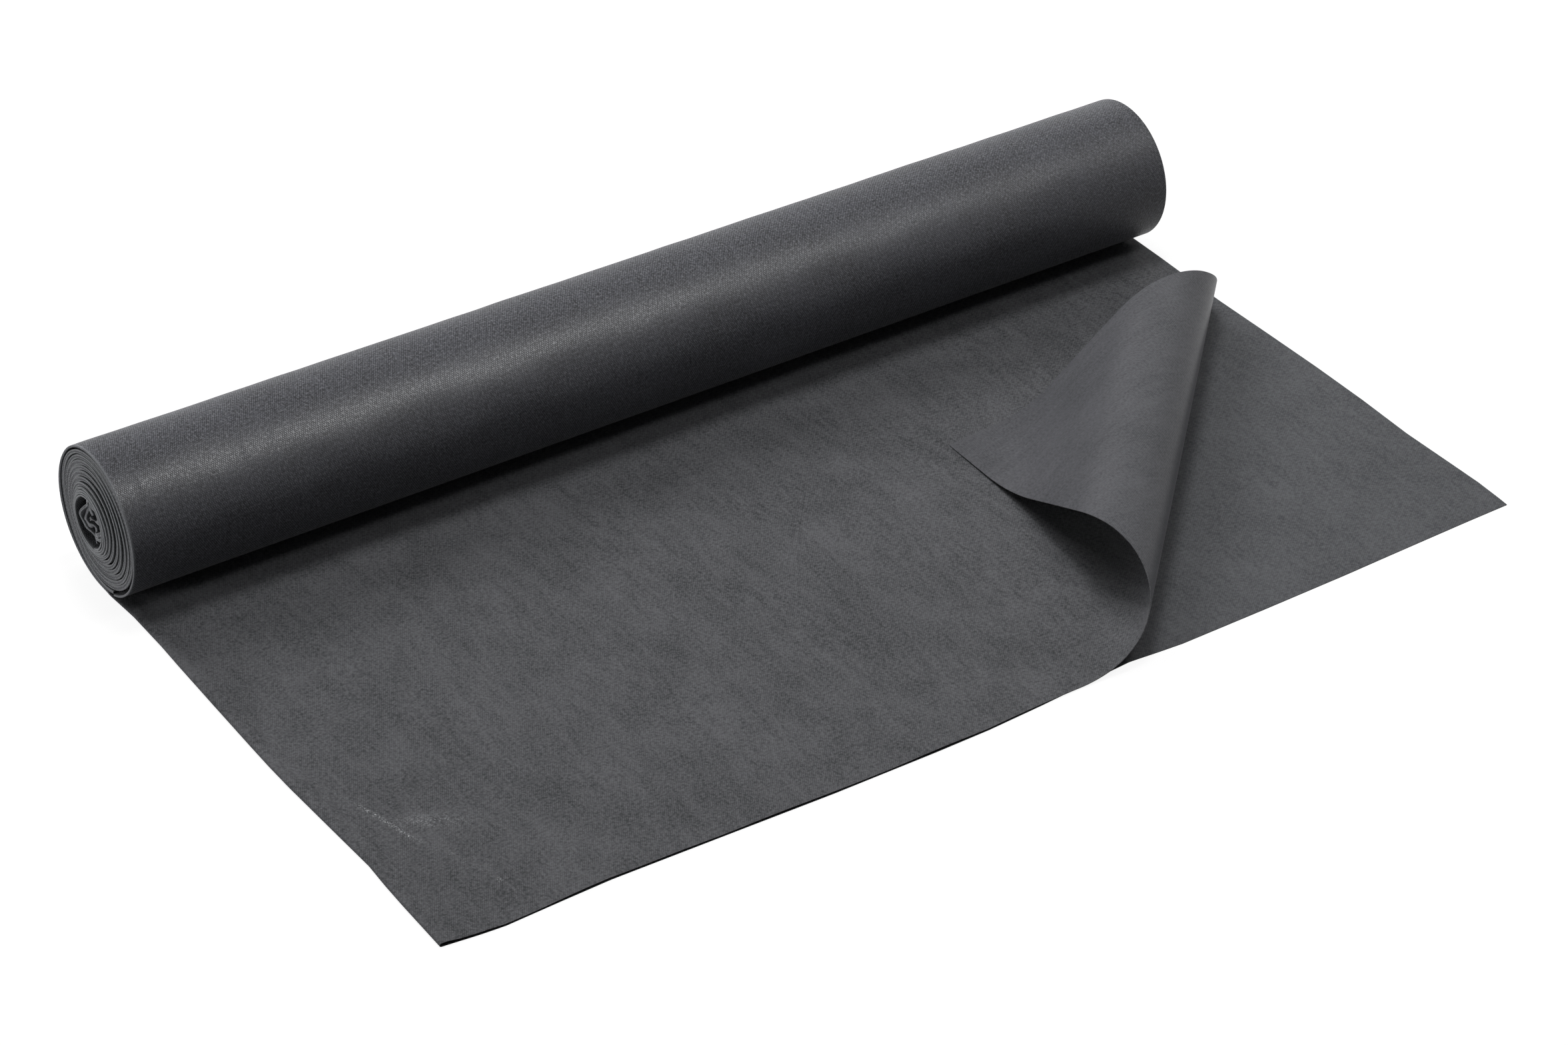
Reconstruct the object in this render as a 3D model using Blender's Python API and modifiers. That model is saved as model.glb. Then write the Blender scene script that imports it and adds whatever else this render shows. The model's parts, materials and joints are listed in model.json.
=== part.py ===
# Roll of weed control fabric: a wide web of spunbond fabric, folded once along its length,
# wound up without a core, with its free end laid flat and one corner of the upper layer rolled back.
# Run with: blender --background --python part.py
# Metres, +Z up. X runs along the roll, the folded edge is at -X, and the free end lies towards -Y.

import math

import bpy
from mathutils import Matrix, Vector

MM = 0.001

# The web.
WEB_WIDTH = 1000 * MM            # across the folded web, half of a 2 m width
LAYER_THICKNESS = 0.6 * MM       # one layer, with its loft
LAYER_GAP = 0.4 * MM             # between the two layers of the folded web
EDGE_SEAT = 0.3 * MM             # from the folded edge to the layers that it joins

# The roll.
ROLL_RADIUS = 61.65 * MM
TURN_PITCH = 3.3 * MM            # from one turn of the doubled web to the next
WOUND_TURNS = 11                 # inside the outer turn
POINTS_A_TURN = 24
RUNNING_GAP = 0.5 * MM           # from the outer turn to the winding that spins in it

# The outer turn, which leaves the floor at the nip and goes up the back of the roll.
OUTER_TURN_SHARE = 340 / 360     # how much of a full turn it covers
OUTER_POINTS_A_TURN = 72
NIP_RUN = 12 * MM                # flat on the floor, in front of the contact line
LOOSE_GAP = 3.5 * MM             # how far it hangs off the roll low at the back
LOOSE_SHARE = 130 / 360          # of a turn, over which it hangs off

# The crumpled start of the web, which fills the middle of the roll.
START_SEAT = 0.5 * MM
START_RECESS = 9 * MM
START_POINTS = 60
START_LOBES = 5
START_DEPTH_SHARE = 0.34
START_RIPPLE_SHARE = 0.08

# The laid end.
LAID_LENGTH = 513.6 * MM
PAYOUT_DEPTH = 80 * MM           # the stretch next to the roll, which lengthens as the roll pays out
SECTION_GAP = 0.3 * MM           # between sections of one layer
UPPER_SIDE_STEP = 11 * MM        # the upper layer's free edge lies this far inside the lower one's
UPPER_OVERHANG = 9 * MM          # and its end, cut out of square, reaches this far past the lower one's

# The rolled-back corner of the upper layer, as flat strips joined at hinge lines. All the hinge lines
# pass through one point far behind the fold, because the corner is rolled to a slight cone.
FOLD_HEADING = math.radians(45.8)        # of the line where the bend starts, from +X towards +Y
FOLD_CLEARANCE = 12.3 * MM               # from the first hinge line's side end to the payout stretch
CONE_DISTANCE = 3137 * MM                # from the middle of the line back to the cone's point
LIFT_SHARE = 0.048                       # the first hinge line, as a share of the corner's depth
BEND_STEP_SHARE = 0.075                  # and from there on, of the same depth
SLOPE_SHARE = 0.267
TIP_STEP_SHARE = 0.076
BEND_ANGLE = math.radians(41.3)
BEND_SHARES = (0.5, 0.76, 0.92, 1, 0.9, 0.76, 0.48)
TIP_ANGLE = math.radians(-19)
TIP_COUNT = 2

# Values worked out from those above.
STACK = 2 * LAYER_THICKNESS + LAYER_GAP
EDGE_RADIUS = STACK / 2
EDGE_SIDES = 6                   # of the folded edge's tube, which stands on a corner
EDGE_MIDDLE = EDGE_RADIUS * math.cos(math.pi / EDGE_SIDES)
LEFT = -WEB_WIDTH / 2
RIGHT = WEB_WIDTH / 2
LAYER_LEFT = LEFT + 2 * EDGE_MIDDLE + EDGE_SEAT
UPPER_OFFSET = LAYER_THICKNESS + LAYER_GAP
WOUND_RADIUS = ROLL_RADIUS - STACK - RUNNING_GAP
START_RADIUS = WOUND_RADIUS - WOUND_TURNS * TURN_PITCH - STACK - START_SEAT
HINGE_GAP = SECTION_GAP
SIDE_RUN = LAID_LENGTH + UPPER_OVERHANG - PAYOUT_DEPTH - FOLD_CLEARANCE    # tip to first hinge line
CORNER_DEPTH = SIDE_RUN * math.cos(FOLD_HEADING) / (1 - LIFT_SHARE)        # tip to where the bend starts

COLLECTION_NAME = "weed_control_fabric_roll"


def clear_scene():
    for thing in list(bpy.data.objects):
        bpy.data.objects.remove(thing, do_unlink=True)


def fabric_material(name, grey, roughness):
    material = bpy.data.materials.new(name)
    material.use_nodes = True
    shader = material.node_tree.nodes["Principled BSDF"]
    shader.inputs["Base Color"].default_value = (grey, grey, grey * 1.04, 1)
    shader.inputs["Roughness"].default_value = roughness
    shader.inputs["Metallic"].default_value = 0
    return material


def add_object(name, data, material):
    thing = bpy.data.objects.new(name, data)
    bpy.data.collections[COLLECTION_NAME].objects.link(thing)
    data.materials.append(material)
    return thing


def across_the_web(thing, middle):
    """Turn a curve drawn in (y, z) so that it stands across X, with its extrusion along X."""
    thing.rotation_euler = (math.pi / 2, 0, math.pi / 2)
    thing.location = (middle, 0, 0)


def path_curve(name, points, closed=False):
    """A 2D poly curve through the points."""
    data = bpy.data.curves.new(name, "CURVE")
    data.dimensions = "2D"
    spline = data.splines.new("POLY")
    spline.points.add(len(points) - 1)
    for point, (a, b) in zip(spline.points, points):
        point.co = (a, b, 0, 1)
    spline.use_cyclic_u = closed
    return data


def ribbon(name, points, left, right, material):
    """One layer of the web: an open curve extruded along X, given its thickness towards the roll's middle."""
    data = path_curve(name, points)
    data.fill_mode = "NONE"
    data.extrude = (right - left) / 2
    thing = add_object(name, data, material)
    across_the_web(thing, (left + right) / 2)
    wall = thing.modifiers.new("Layer", "SOLIDIFY")
    wall.thickness = LAYER_THICKNESS
    wall.offset = 1
    wall.use_even_offset = True
    return thing


def folded_edge(name, points, material):
    """The rounded fold that joins the two layers at the left: a tube along their middle line."""
    data = path_curve(name, points)
    data.dimensions = "3D"
    data.bevel_depth = EDGE_RADIUS
    data.bevel_resolution = EDGE_SIDES // 2 - 2
    data.use_fill_caps = True
    thing = add_object(name, data, material)
    across_the_web(thing, LEFT + EDGE_MIDDLE)
    return thing


def flat_sheet(name, outline, bottom, material):
    """One flat section of a layer, from its outline in (x, y)."""
    data = path_curve(name, outline, closed=True)
    data.fill_mode = "BOTH"
    data.extrude = LAYER_THICKNESS / 2
    thing = add_object(name, data, material)
    thing.location = (0, 0, bottom + LAYER_THICKNESS / 2)
    return thing


def on_roll(radius, turn_angle):
    """A point at a distance from the roll's axis. The angle runs from the floor up the back."""
    return (radius * math.sin(turn_angle), ROLL_RADIUS - radius * math.cos(turn_angle))


def outer_turn_radius(turn_angle):
    """Outside radius of the outer turn, with the loose stretch low at the back."""
    loose_angle = 2 * math.pi * LOOSE_SHARE
    if turn_angle >= loose_angle:
        return ROLL_RADIUS
    return ROLL_RADIUS + LOOSE_GAP * math.sin(math.pi * turn_angle / loose_angle) ** 2


def outer_turn_path(depth):
    """The outer turn's section at a depth below its outer face, from the nip round to its end."""
    steps = round(OUTER_POINTS_A_TURN * OUTER_TURN_SHARE)
    points = [(-NIP_RUN, depth)]
    for step in range(steps + 1):
        turn_angle = 2 * math.pi * OUTER_TURN_SHARE * step / steps
        points.append(on_roll(outer_turn_radius(turn_angle) - depth, turn_angle))
    return points


def wound_path(depth):
    """The winding's section at a depth below its outer face: a spiral from the outside in."""
    start_angle = 2 * math.pi * OUTER_TURN_SHARE
    points = []
    for step in range(WOUND_TURNS * POINTS_A_TURN + 1):
        turns = step / POINTS_A_TURN
        radius = WOUND_RADIUS - TURN_PITCH * turns - depth
        points.append(on_roll(radius, start_angle + 2 * math.pi * turns))
    return points


def start_outline():
    """The crumpled start's section: soft lobes of unlike depth, whose crests reach the innermost turn.

    It is drawn backwards from the spiral's inner end, where the innermost turn is tightest.
    """
    points = []
    for step in range(START_POINTS):
        around = 2 * math.pi * step / START_POINTS
        lobe = (1 - math.cos(START_LOBES * around + math.sin(2 * around))) / 2
        ripple = (1 - math.cos(3 * START_LOBES * around)) / 2
        crest = START_RADIUS + TURN_PITCH * step / START_POINTS
        radius = crest * (1 - START_DEPTH_SHARE * lobe - START_RIPPLE_SHARE * ripple)
        points.append(on_roll(radius, 2 * math.pi * OUTER_TURN_SHARE - around))
    return points


def least_gap_to_itself(path):
    """Least distance between points of the winding's layer that are half a turn or more apart, less the wall."""
    least = math.inf
    for index, (y, z) in enumerate(path):
        for other_y, other_z in path[index + POINTS_A_TURN // 2:]:
            least = min(least, math.hypot(other_y - y, other_z - z))
    return least - LAYER_THICKNESS


def hinge_lines():
    """Distance of each hinge line from the start of the bend, and its fold angle."""
    distances = []
    angles = []
    for index, share in enumerate(BEND_SHARES):
        distances.append(CORNER_DEPTH * (LIFT_SHARE + index * BEND_STEP_SHARE))
        angles.append(BEND_ANGLE * share)
    slope_end = distances[-1] + CORNER_DEPTH * SLOPE_SHARE
    for index in range(TIP_COUNT):
        distances.append(slope_end + index * CORNER_DEPTH * TIP_STEP_SHARE)
        angles.append(TIP_ANGLE)
    return distances, angles


class CornerPlan:
    """The flat corner seen from above, before it is rolled back."""

    def __init__(self):
        self.tip = Vector((RIGHT - UPPER_SIDE_STEP, -LAID_LENGTH - UPPER_OVERHANG))
        self.front_left = Vector((LAYER_LEFT, -LAID_LENGTH))
        self.front_edge = (self.tip - self.front_left).normalized()
        self.along = Vector((math.cos(FOLD_HEADING), math.sin(FOLD_HEADING)))
        self.towards_tip = Vector((math.sin(FOLD_HEADING), -math.cos(FOLD_HEADING)))
        self.bend_start = self.tip - CORNER_DEPTH * self.towards_tip
        self.cone_point = self.bend_start - CONE_DISTANCE * self.along

    def ray(self, distance):
        """Direction of the hinge line that crosses the fold's middle at this distance."""
        return (CONE_DISTANCE * self.along + distance * self.towards_tip).normalized()

    def ends(self, distance, side_shift=0):
        """Where the hinge line meets the front edge and the side edge, moved sideways towards the tip."""
        ray = self.ray(distance)
        start = self.cone_point + side_shift * Vector((ray.y, -ray.x))
        to_edge = self.tip - start
        across = ray.x * self.front_edge.y - ray.y * self.front_edge.x
        front = start + ray * ((to_edge.x * self.front_edge.y - to_edge.y * self.front_edge.x) / across)
        side = start + ray * ((self.tip.x - start.x) / ray.x)
        return front, side


def corner_strips(plan, bottom, material):
    """The rolled-back corner: each strip is hung on the one before it, at a hinge in the layer's middle."""
    distances, angles = hinge_lines()
    before = None
    before_frame = None
    for index, (distance, angle) in enumerate(zip(distances, angles)):
        front, side = plan.ends(distance, HINGE_GAP / 2)
        outline = [side, front]
        if index + 1 < len(distances):
            outline += plan.ends(distances[index + 1], -HINGE_GAP / 2)
        else:
            outline += [plan.tip]
        ray = plan.ray(distance)
        hinge_front, hinge_side = plan.ends(distance)
        origin = (hinge_front + hinge_side) / 2
        heading = math.atan2(ray.y, ray.x) - math.pi / 2
        flat_frame = Matrix.Translation((origin.x, origin.y, bottom + LAYER_THICKNESS / 2))
        flat_frame = flat_frame @ Matrix.Rotation(heading, 4, "Z")
        to_local = flat_frame.inverted()
        local = [to_local @ Vector((point.x, point.y, bottom + LAYER_THICKNESS / 2)) for point in outline]
        data = path_curve(f"corner_strip_{index + 1}", [(point.x, point.y) for point in local], closed=True)
        data.fill_mode = "BOTH"
        data.extrude = LAYER_THICKNESS / 2
        strip = add_object(f"corner_strip_{index + 1}", data, material)
        placed = flat_frame if before is None else before_frame.inverted() @ flat_frame
        strip.parent = before
        strip.matrix_parent_inverse = Matrix.Identity(4)
        strip.location = placed.to_translation()
        strip.rotation_euler = (0, -angle, placed.to_euler().z)
        before = strip
        before_frame = flat_frame


def stand_over_origin(collection):
    """Move the whole along Y so that the origin is under the middle of its box."""
    bpy.context.view_layer.update()
    graph = bpy.context.evaluated_depsgraph_get()
    reach = []
    for thing in collection.objects:
        solid = thing.evaluated_get(graph)
        reach += [(thing.matrix_world @ vertex.co).y for vertex in solid.to_mesh().vertices]
        solid.to_mesh_clear()
    middle = (min(reach) + max(reach)) / 2
    for thing in collection.objects:
        if thing.parent is None:
            thing.location.y -= middle
    bpy.context.view_layer.update()


def build():
    clear_scene()
    collection = bpy.data.collections.new(COLLECTION_NAME)
    bpy.context.scene.collection.children.link(collection)

    # Everything is made with the roll's contact line at y = 0, and moved over the origin at the end.
    front_y = -LAID_LENGTH
    payout_front = -PAYOUT_DEPTH
    payout_back = -NIP_RUN - SECTION_GAP

    # The winding, which spins inside the outer turn.
    face = fabric_material("wound_fabric", 0.052, 0.62)
    ribbon("wound_lower_layer", wound_path(0), LAYER_LEFT, RIGHT, face)
    face = fabric_material("wound_upper_fabric", 0.05, 0.62)
    ribbon("wound_upper_layer", wound_path(UPPER_OFFSET), LAYER_LEFT, RIGHT, face)
    face = fabric_material("wound_edge_fabric", 0.075, 0.66)
    folded_edge("wound_folded_edge", wound_path(STACK / 2), face)
    print("least gap of the winding to itself, mm:", round(least_gap_to_itself(wound_path(0)) / MM, 2))

    # The crumpled start in the middle.
    face = fabric_material("start_fabric", 0.04, 0.7)
    data = path_curve("crumpled_start", start_outline(), closed=True)
    data.fill_mode = "BOTH"
    data.extrude = (RIGHT - LEFT) / 2 - START_RECESS
    across_the_web(add_object("crumpled_start", data, face), 0)

    # The outer turn, which travels with the roll.
    face = fabric_material("outer_fabric", 0.058, 0.58)
    ribbon("outer_turn_lower_layer", outer_turn_path(0), LAYER_LEFT, RIGHT, face)
    face = fabric_material("outer_upper_fabric", 0.05, 0.6)
    ribbon("outer_turn_upper_layer", outer_turn_path(UPPER_OFFSET), LAYER_LEFT, RIGHT, face)
    face = fabric_material("outer_edge_fabric", 0.075, 0.66)
    folded_edge("outer_turn_folded_edge", outer_turn_path(STACK / 2), face)

    # The stretch of the laid end next to the roll, and the rest of it.
    upper_right = RIGHT - UPPER_SIDE_STEP
    laid_back = payout_front - SECTION_GAP
    face = fabric_material("payout_fabric", 0.05, 0.6)
    lower_rest = [(LAYER_LEFT, payout_front), (RIGHT, payout_front), (RIGHT, payout_back), (LAYER_LEFT, payout_back)]
    flat_sheet("payout_lower_layer", lower_rest, 0, face)
    face = fabric_material("payout_upper_fabric", 0.055, 0.6)
    upper_rest = [(LAYER_LEFT, payout_front), (upper_right, payout_front), (upper_right, payout_back),
                  (LAYER_LEFT, payout_back)]
    flat_sheet("payout_upper_layer", upper_rest, UPPER_OFFSET, face)
    face = fabric_material("payout_edge_fabric", 0.06, 0.64)
    folded_edge("payout_folded_edge", [(payout_front, STACK / 2), (payout_back, STACK / 2)], face)

    face = fabric_material("laid_lower_fabric", 0.06, 0.6)
    lower_laid = [(LAYER_LEFT, front_y), (RIGHT, front_y), (RIGHT, laid_back), (LAYER_LEFT, laid_back)]
    flat_sheet("laid_lower_layer", lower_laid, 0, face)
    face = fabric_material("laid_edge_fabric", 0.06, 0.64)
    folded_edge("laid_folded_edge", [(front_y, STACK / 2), (laid_back, STACK / 2)], face)

    plan = CornerPlan()
    fold_front, fold_side = plan.ends(CORNER_DEPTH * LIFT_SHARE, -HINGE_GAP / 2)
    face = fabric_material("laid_upper_fabric", 0.062, 0.6)
    upper_laid = [(LAYER_LEFT, front_y), fold_front, fold_side, (upper_right, laid_back),
                  (LAYER_LEFT, laid_back)]
    flat_sheet("laid_upper_layer", upper_laid, UPPER_OFFSET, face)

    # The rolled-back corner.
    face = fabric_material("corner_fabric", 0.085, 0.5)
    corner_strips(plan, UPPER_OFFSET, face)
    stand_over_origin(collection)


build()
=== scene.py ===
# The looks of the roll of weed control fabric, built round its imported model.
# The fabric is one wide web, folded once along its length, so every piece here is part of it:
# the laid end with its fold at the left, the corner rolled back, the outer turn, the winding
# inside it and the creased start in the middle. Metres, +Z up, the free end towards -Y.

import json
import math

import bpy
import numpy as np
from mathutils import Matrix, Vector


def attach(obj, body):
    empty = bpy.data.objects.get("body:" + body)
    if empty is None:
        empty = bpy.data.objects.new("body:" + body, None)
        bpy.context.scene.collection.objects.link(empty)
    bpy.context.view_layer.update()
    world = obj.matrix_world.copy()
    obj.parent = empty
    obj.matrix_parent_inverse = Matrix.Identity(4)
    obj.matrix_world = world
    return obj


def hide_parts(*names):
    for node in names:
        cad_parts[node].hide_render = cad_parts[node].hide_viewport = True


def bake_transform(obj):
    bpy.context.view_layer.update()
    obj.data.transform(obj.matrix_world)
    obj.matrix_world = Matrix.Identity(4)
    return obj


MM = 0.001

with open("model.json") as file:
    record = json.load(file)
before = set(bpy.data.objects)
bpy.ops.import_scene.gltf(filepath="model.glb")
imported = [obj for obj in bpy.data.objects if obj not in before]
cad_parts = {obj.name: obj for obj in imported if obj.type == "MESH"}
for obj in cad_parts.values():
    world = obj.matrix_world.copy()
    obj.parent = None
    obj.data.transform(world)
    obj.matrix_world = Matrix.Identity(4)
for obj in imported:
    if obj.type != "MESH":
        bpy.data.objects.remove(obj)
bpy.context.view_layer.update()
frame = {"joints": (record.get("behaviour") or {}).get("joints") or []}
joints = {joint["name"]: joint for joint in frame["joints"]}

# The web and the roll, as in the CAD source, save for the two thinner cloths.
CLOTH = 0.6 * MM                     # one layer, and a little thinner where it is wound tight
WOUND_CLOTH = 0.5 * MM
START_CLOTH = 0.4 * MM
LOWER_MIDDLE = 0.3 * MM              # the heights of the flat layers' mid-surfaces
UPPER_MIDDLE = 1.3 * MM
STACK_HALF = 0.8 * MM                # half the height of both layers with the gap between them
LEFT = -0.5
RIGHT = 0.5
UPPER_RIGHT = RIGHT - 11 * MM
NIP_Y = joints["roll_spin"]["pos_m"][1]
ROLL_RADIUS = joints["roll_spin"]["pos_m"][2]
WOUND_RADIUS = 59.55 * MM            # the winding's, inside the outer turn
OUTER_TURN_SHARE = 340 / 360
NIP_RUN = 12 * MM                    # of the outer turn, flat in front of the line that the roll stands on
LAID_DEPTH = 513.6 * MM
PAYOUT_DEPTH = 80 * MM
SECTION_GAP = 0.3 * MM
UPPER_OVERHANG = 9 * MM              # of the upper layer's oblique end, at its right
FRONT_Y = NIP_Y - LAID_DEPTH
PAYOUT_BACK = NIP_Y - NIP_RUN - SECTION_GAP

# The rolled-back corner, as in the CAD source.
FOLD_HEADING = math.radians(45.8)
CONE_DISTANCE = 3137 * MM
FOLD_CLEARANCE = 12.3 * MM
LIFT_SHARE = 0.048
BEND_STEP_SHARE = 0.075
SLOPE_SHARE = 0.267
TIP_STEP_SHARE = 0.076
BEND_ANGLE = math.radians(41.3)
BEND_SHARES = (0.5, 0.76, 0.92, 1, 0.9, 0.76, 0.48)
TIP_ANGLE = math.radians(-19)


# Tools for objects and nodes.

def deselect():
    for thing in bpy.context.selected_objects:
        thing.select_set(False)


def activate(thing):
    deselect()
    thing.select_set(True)
    bpy.context.view_layer.objects.active = thing


def apply_modifiers(thing):
    activate(thing)
    for modifier in list(thing.modifiers):
        bpy.ops.object.modifier_apply(modifier=modifier.name)


def linear(code):
    """An sRGB hex colour as the linear value that a shader takes."""
    values = [int(code[index:index + 2], 16) / 255 for index in (1, 3, 5)]
    return tuple(v / 12.92 if v <= 0.04045 else ((v + 0.055) / 1.055) ** 2.4 for v in values) + (1.0,)


def add_node(tree, kind, inputs=None, **settings):
    """A node with its settings, its input values and the sockets that feed it."""
    node = tree.nodes.new(kind)
    for name, value in settings.items():
        setattr(node, name, value)
    for name, value in (inputs or {}).items():
        if isinstance(value, bpy.types.NodeSocket):
            tree.links.new(value, node.inputs[name])
        else:
            node.inputs[name].default_value = value
    return node


def empty_material(name):
    material = bpy.data.materials.new(name)
    material.use_nodes = True
    material.node_tree.nodes.clear()
    return material, material.node_tree


# The camera, solved from the photograph's straight edges and the roll's round end.

CAMERA_PLACE = (-1.65310, NIP_Y - 2.55017, 1.99610)
HEADING = math.radians(35.2107)      # from +Y towards +X
DOWNWARD = math.radians(34.9349)
LEAN = math.radians(1.3621)
PHOTO_WIDTH = 2353                   # in pixels
FOCAL_LENGTH = 6566.36               # in pixels too
SENSOR_WIDTH = 36                    # in mm


def place_camera():
    ahead = Vector((math.sin(HEADING) * math.cos(DOWNWARD), math.cos(HEADING) * math.cos(DOWNWARD),
                    -math.sin(DOWNWARD)))
    level = ahead.cross(Vector((0, 0, 1))).normalized()
    upright = level.cross(ahead)
    right = level * math.cos(LEAN) + upright * math.sin(LEAN)
    up = upright * math.cos(LEAN) - level * math.sin(LEAN)
    data = bpy.data.cameras.new("camera")
    data.sensor_width = SENSOR_WIDTH
    data.lens = FOCAL_LENGTH / PHOTO_WIDTH * SENSOR_WIDTH
    data.clip_start = 0.05
    data.clip_end = 60
    camera = bpy.data.objects.new("camera", data)
    bpy.context.scene.collection.objects.link(camera)
    turned = Matrix((right, up, -ahead)).transposed()
    camera.matrix_world = Matrix.Translation(CAMERA_PLACE) @ turned.to_4x4()
    bpy.context.scene.camera = camera


# The surroundings. Each softbox's place, what it points at, its sides in m, its power in W, and which rays
# it lights. The highlight along the roll comes from one softbox that gives only reflections, and the two
# strongest of the others are left out of these.

SOFTBOXES = (("overhead_softbox", (0.2, 0.5, 3.0), (0, 0, 0), (0.8, 0.8), 33, "diffuse"),
             ("back_softbox", (0, 2.3, 2.0), (0, 0, 0), (2.0, 1.4), 46, "diffuse"),
             ("front_softbox", (0.8, -0.9, 2.6), (0, 0, 0), (0.6, 0.6), 11, "both"),
             ("left_softbox", (-3.0, 0.45, 0.4), (-0.5, 0.2, 0.05), (0.5, 0.5), 21, "both"),
             ("right_softbox", (2.4, 1.9, 0.5), (0.45, 0.2, 0.05), (0.6, 0.6), 6, "both"),
             ("highlight_softbox", (0.8, -0.9, 2.6), (0, 0, 0), (0.6, 0.6), 106, "glossy"))
SURROUND_LIGHT = 0.01                # how strongly the white surround itself lights the cloth
WHITE = (1, 1, 1, 1)
FLOOR_SIZE = 14
FLOOR_PAPER = "#7c7c7c"
NEAR_GLOW = 0.9                      # the floor's own, up to the near distance, and 1 from the far one on
NEAR_FLOOR = 1.0
FAR_FLOOR = 2.2


def add_softbox(name, place, target, size, energy, lights):
    data = bpy.data.lights.new(name, "AREA")
    data.shape = "RECTANGLE"
    data.size, data.size_y = size
    data.energy = energy
    lamp = bpy.data.objects.new(name, data)
    bpy.context.scene.collection.objects.link(lamp)
    lamp.location = place
    lamp.rotation_mode = "QUATERNION"
    lamp.rotation_quaternion = (Vector(target) - Vector(place)).to_track_quat("-Z", "Y")
    lamp.visible_glossy = lights != "diffuse"
    lamp.visible_diffuse = lights != "glossy"


def seen_directly(tree):
    """1 for the rays that show the surroundings: the camera's, and those that mirror or pass them on."""
    path = add_node(tree, "ShaderNodeLightPath")
    seen = path.outputs["Is Camera Ray"]
    for other in ("Is Glossy Ray", "Is Transmission Ray"):
        seen = add_node(tree, "ShaderNodeMath", {0: seen, 1: path.outputs[other]},
                        operation="MAXIMUM").outputs[0]
    return seen


def add_surround():
    """A surround that is white to the eye and in reflections, and otherwise hardly lights the cloth."""
    world = bpy.data.worlds.new("white_surround")
    bpy.context.scene.world = world
    world.use_nodes = True
    tree = world.node_tree
    tree.nodes.clear()
    strength = add_node(tree, "ShaderNodeMapRange", {"Value": seen_directly(tree), "To Min": SURROUND_LIGHT,
                                                     "To Max": 1.0})
    glow = add_node(tree, "ShaderNodeBackground", {"Color": WHITE, "Strength": strength.outputs["Result"]})
    add_node(tree, "ShaderNodeOutputWorld", {"Surface": glow.outputs["Background"]})


def add_floor():
    """Matt paper with a glow of its own. Near the roll the glow alone isn't quite white, so that shadows
    show. Further off, where the softboxes give little, it is."""
    deselect()
    bpy.ops.mesh.primitive_plane_add(size=FLOOR_SIZE, location=(0, 0, 0))
    floor = bpy.context.object
    floor.name = "floor"
    material, tree = empty_material("white_paper_sweep")
    paper = add_node(tree, "ShaderNodeBsdfDiffuse", {"Color": linear(FLOOR_PAPER)})
    place = add_node(tree, "ShaderNodeTexCoord").outputs["Object"]
    away = add_node(tree, "ShaderNodeVectorMath", {0: place}, operation="LENGTH")
    strength = add_node(tree, "ShaderNodeMapRange", {"Value": away.outputs["Value"], "From Min": NEAR_FLOOR,
                                                     "From Max": FAR_FLOOR, "To Min": NEAR_GLOW,
                                                     "To Max": 1.0})
    glow = add_node(tree, "ShaderNodeEmission", {"Color": WHITE, "Strength": strength.outputs["Result"]})
    both = add_node(tree, "ShaderNodeAddShader", {0: paper.outputs[0], 1: glow.outputs[0]})
    mix = add_node(tree, "ShaderNodeMixShader", {0: seen_directly(tree), 1: paper.outputs[0],
                                                 2: both.outputs[0]})
    add_node(tree, "ShaderNodeOutputMaterial", {"Surface": mix.outputs[0]})
    floor.data.materials.append(material)


# Materials. Spunbond polypropylene is a matt mat of melted fibres, bonded by rows of small heated points,
# 1.7 mm apart. Each point is pressed flat, so it is smoother and paler, and the fibres stand up in soft
# pillows between the points. The fibres themselves are far too fine to show, so they are drawn as noise,
# from 2.4 mm down to 0.3 mm coarse.

DOT_ACROSS = 0.85 * MM               # half the spacing of the points in a row
DOT_ALONG = 1.47 * MM                # the spacing of the rows
POLYPROPYLENE_IOR = 1.49
MAT_ROUGHNESS = 0.68                 # of the mat and of its bond points, before their gloss is taken off
POINT_ROUGHNESS = 0.62
BUMP_DEPTH = 0.2 * MM
BUMP_STRENGTH = 0.22
FIBRE_HEIGHT = 4.0                   # of the fibres in the bump, against 1 for the bond points

# How many cells of each noise there are in a metre.
CLOUD_CELLS = 14.0
STREAK_CELLS = 130.0                 # across the web, and a quarter as many along it
FIBRE_CELLS = 420.0
SPECK_CELLS = 480.0
FLECK_CELLS = 700.0


def bond_points(tree, place, ribs):
    """1 on the bond points and 0 between them: a staggered lattice, which may run together into fine ribs."""
    parts = add_node(tree, "ShaderNodeSeparateXYZ", {"Vector": place})
    phases = [add_node(tree, "ShaderNodeMath", {0: parts.outputs[axis], 1: math.pi / spacing},
                       operation="MULTIPLY").outputs[0]
              for axis, spacing in (("X", DOT_ACROSS), ("Y", DOT_ALONG))]
    waves = [add_node(tree, "ShaderNodeMath", {0: phase}, operation="COSINE").outputs[0] for phase in phases]
    lattice = add_node(tree, "ShaderNodeMath", {0: waves[0], 1: waves[1]}, operation="MULTIPLY")
    slant = add_node(tree, "ShaderNodeMath", {0: phases[0], 1: phases[1]}, operation="SUBTRACT")
    rib = add_node(tree, "ShaderNodeMath", {0: slant.outputs[0]}, operation="COSINE")
    pattern = add_node(tree, "ShaderNodeMix", {"Factor": ribs, 2: lattice.outputs[0], 3: rib.outputs[0]})
    bond = add_node(tree, "ShaderNodeMapRange", {"Value": pattern.outputs[0], "From Min": 0.1,
                                                 "From Max": 0.75}, interpolation_type="SMOOTHSTEP")
    return bond.outputs[0]


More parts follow.
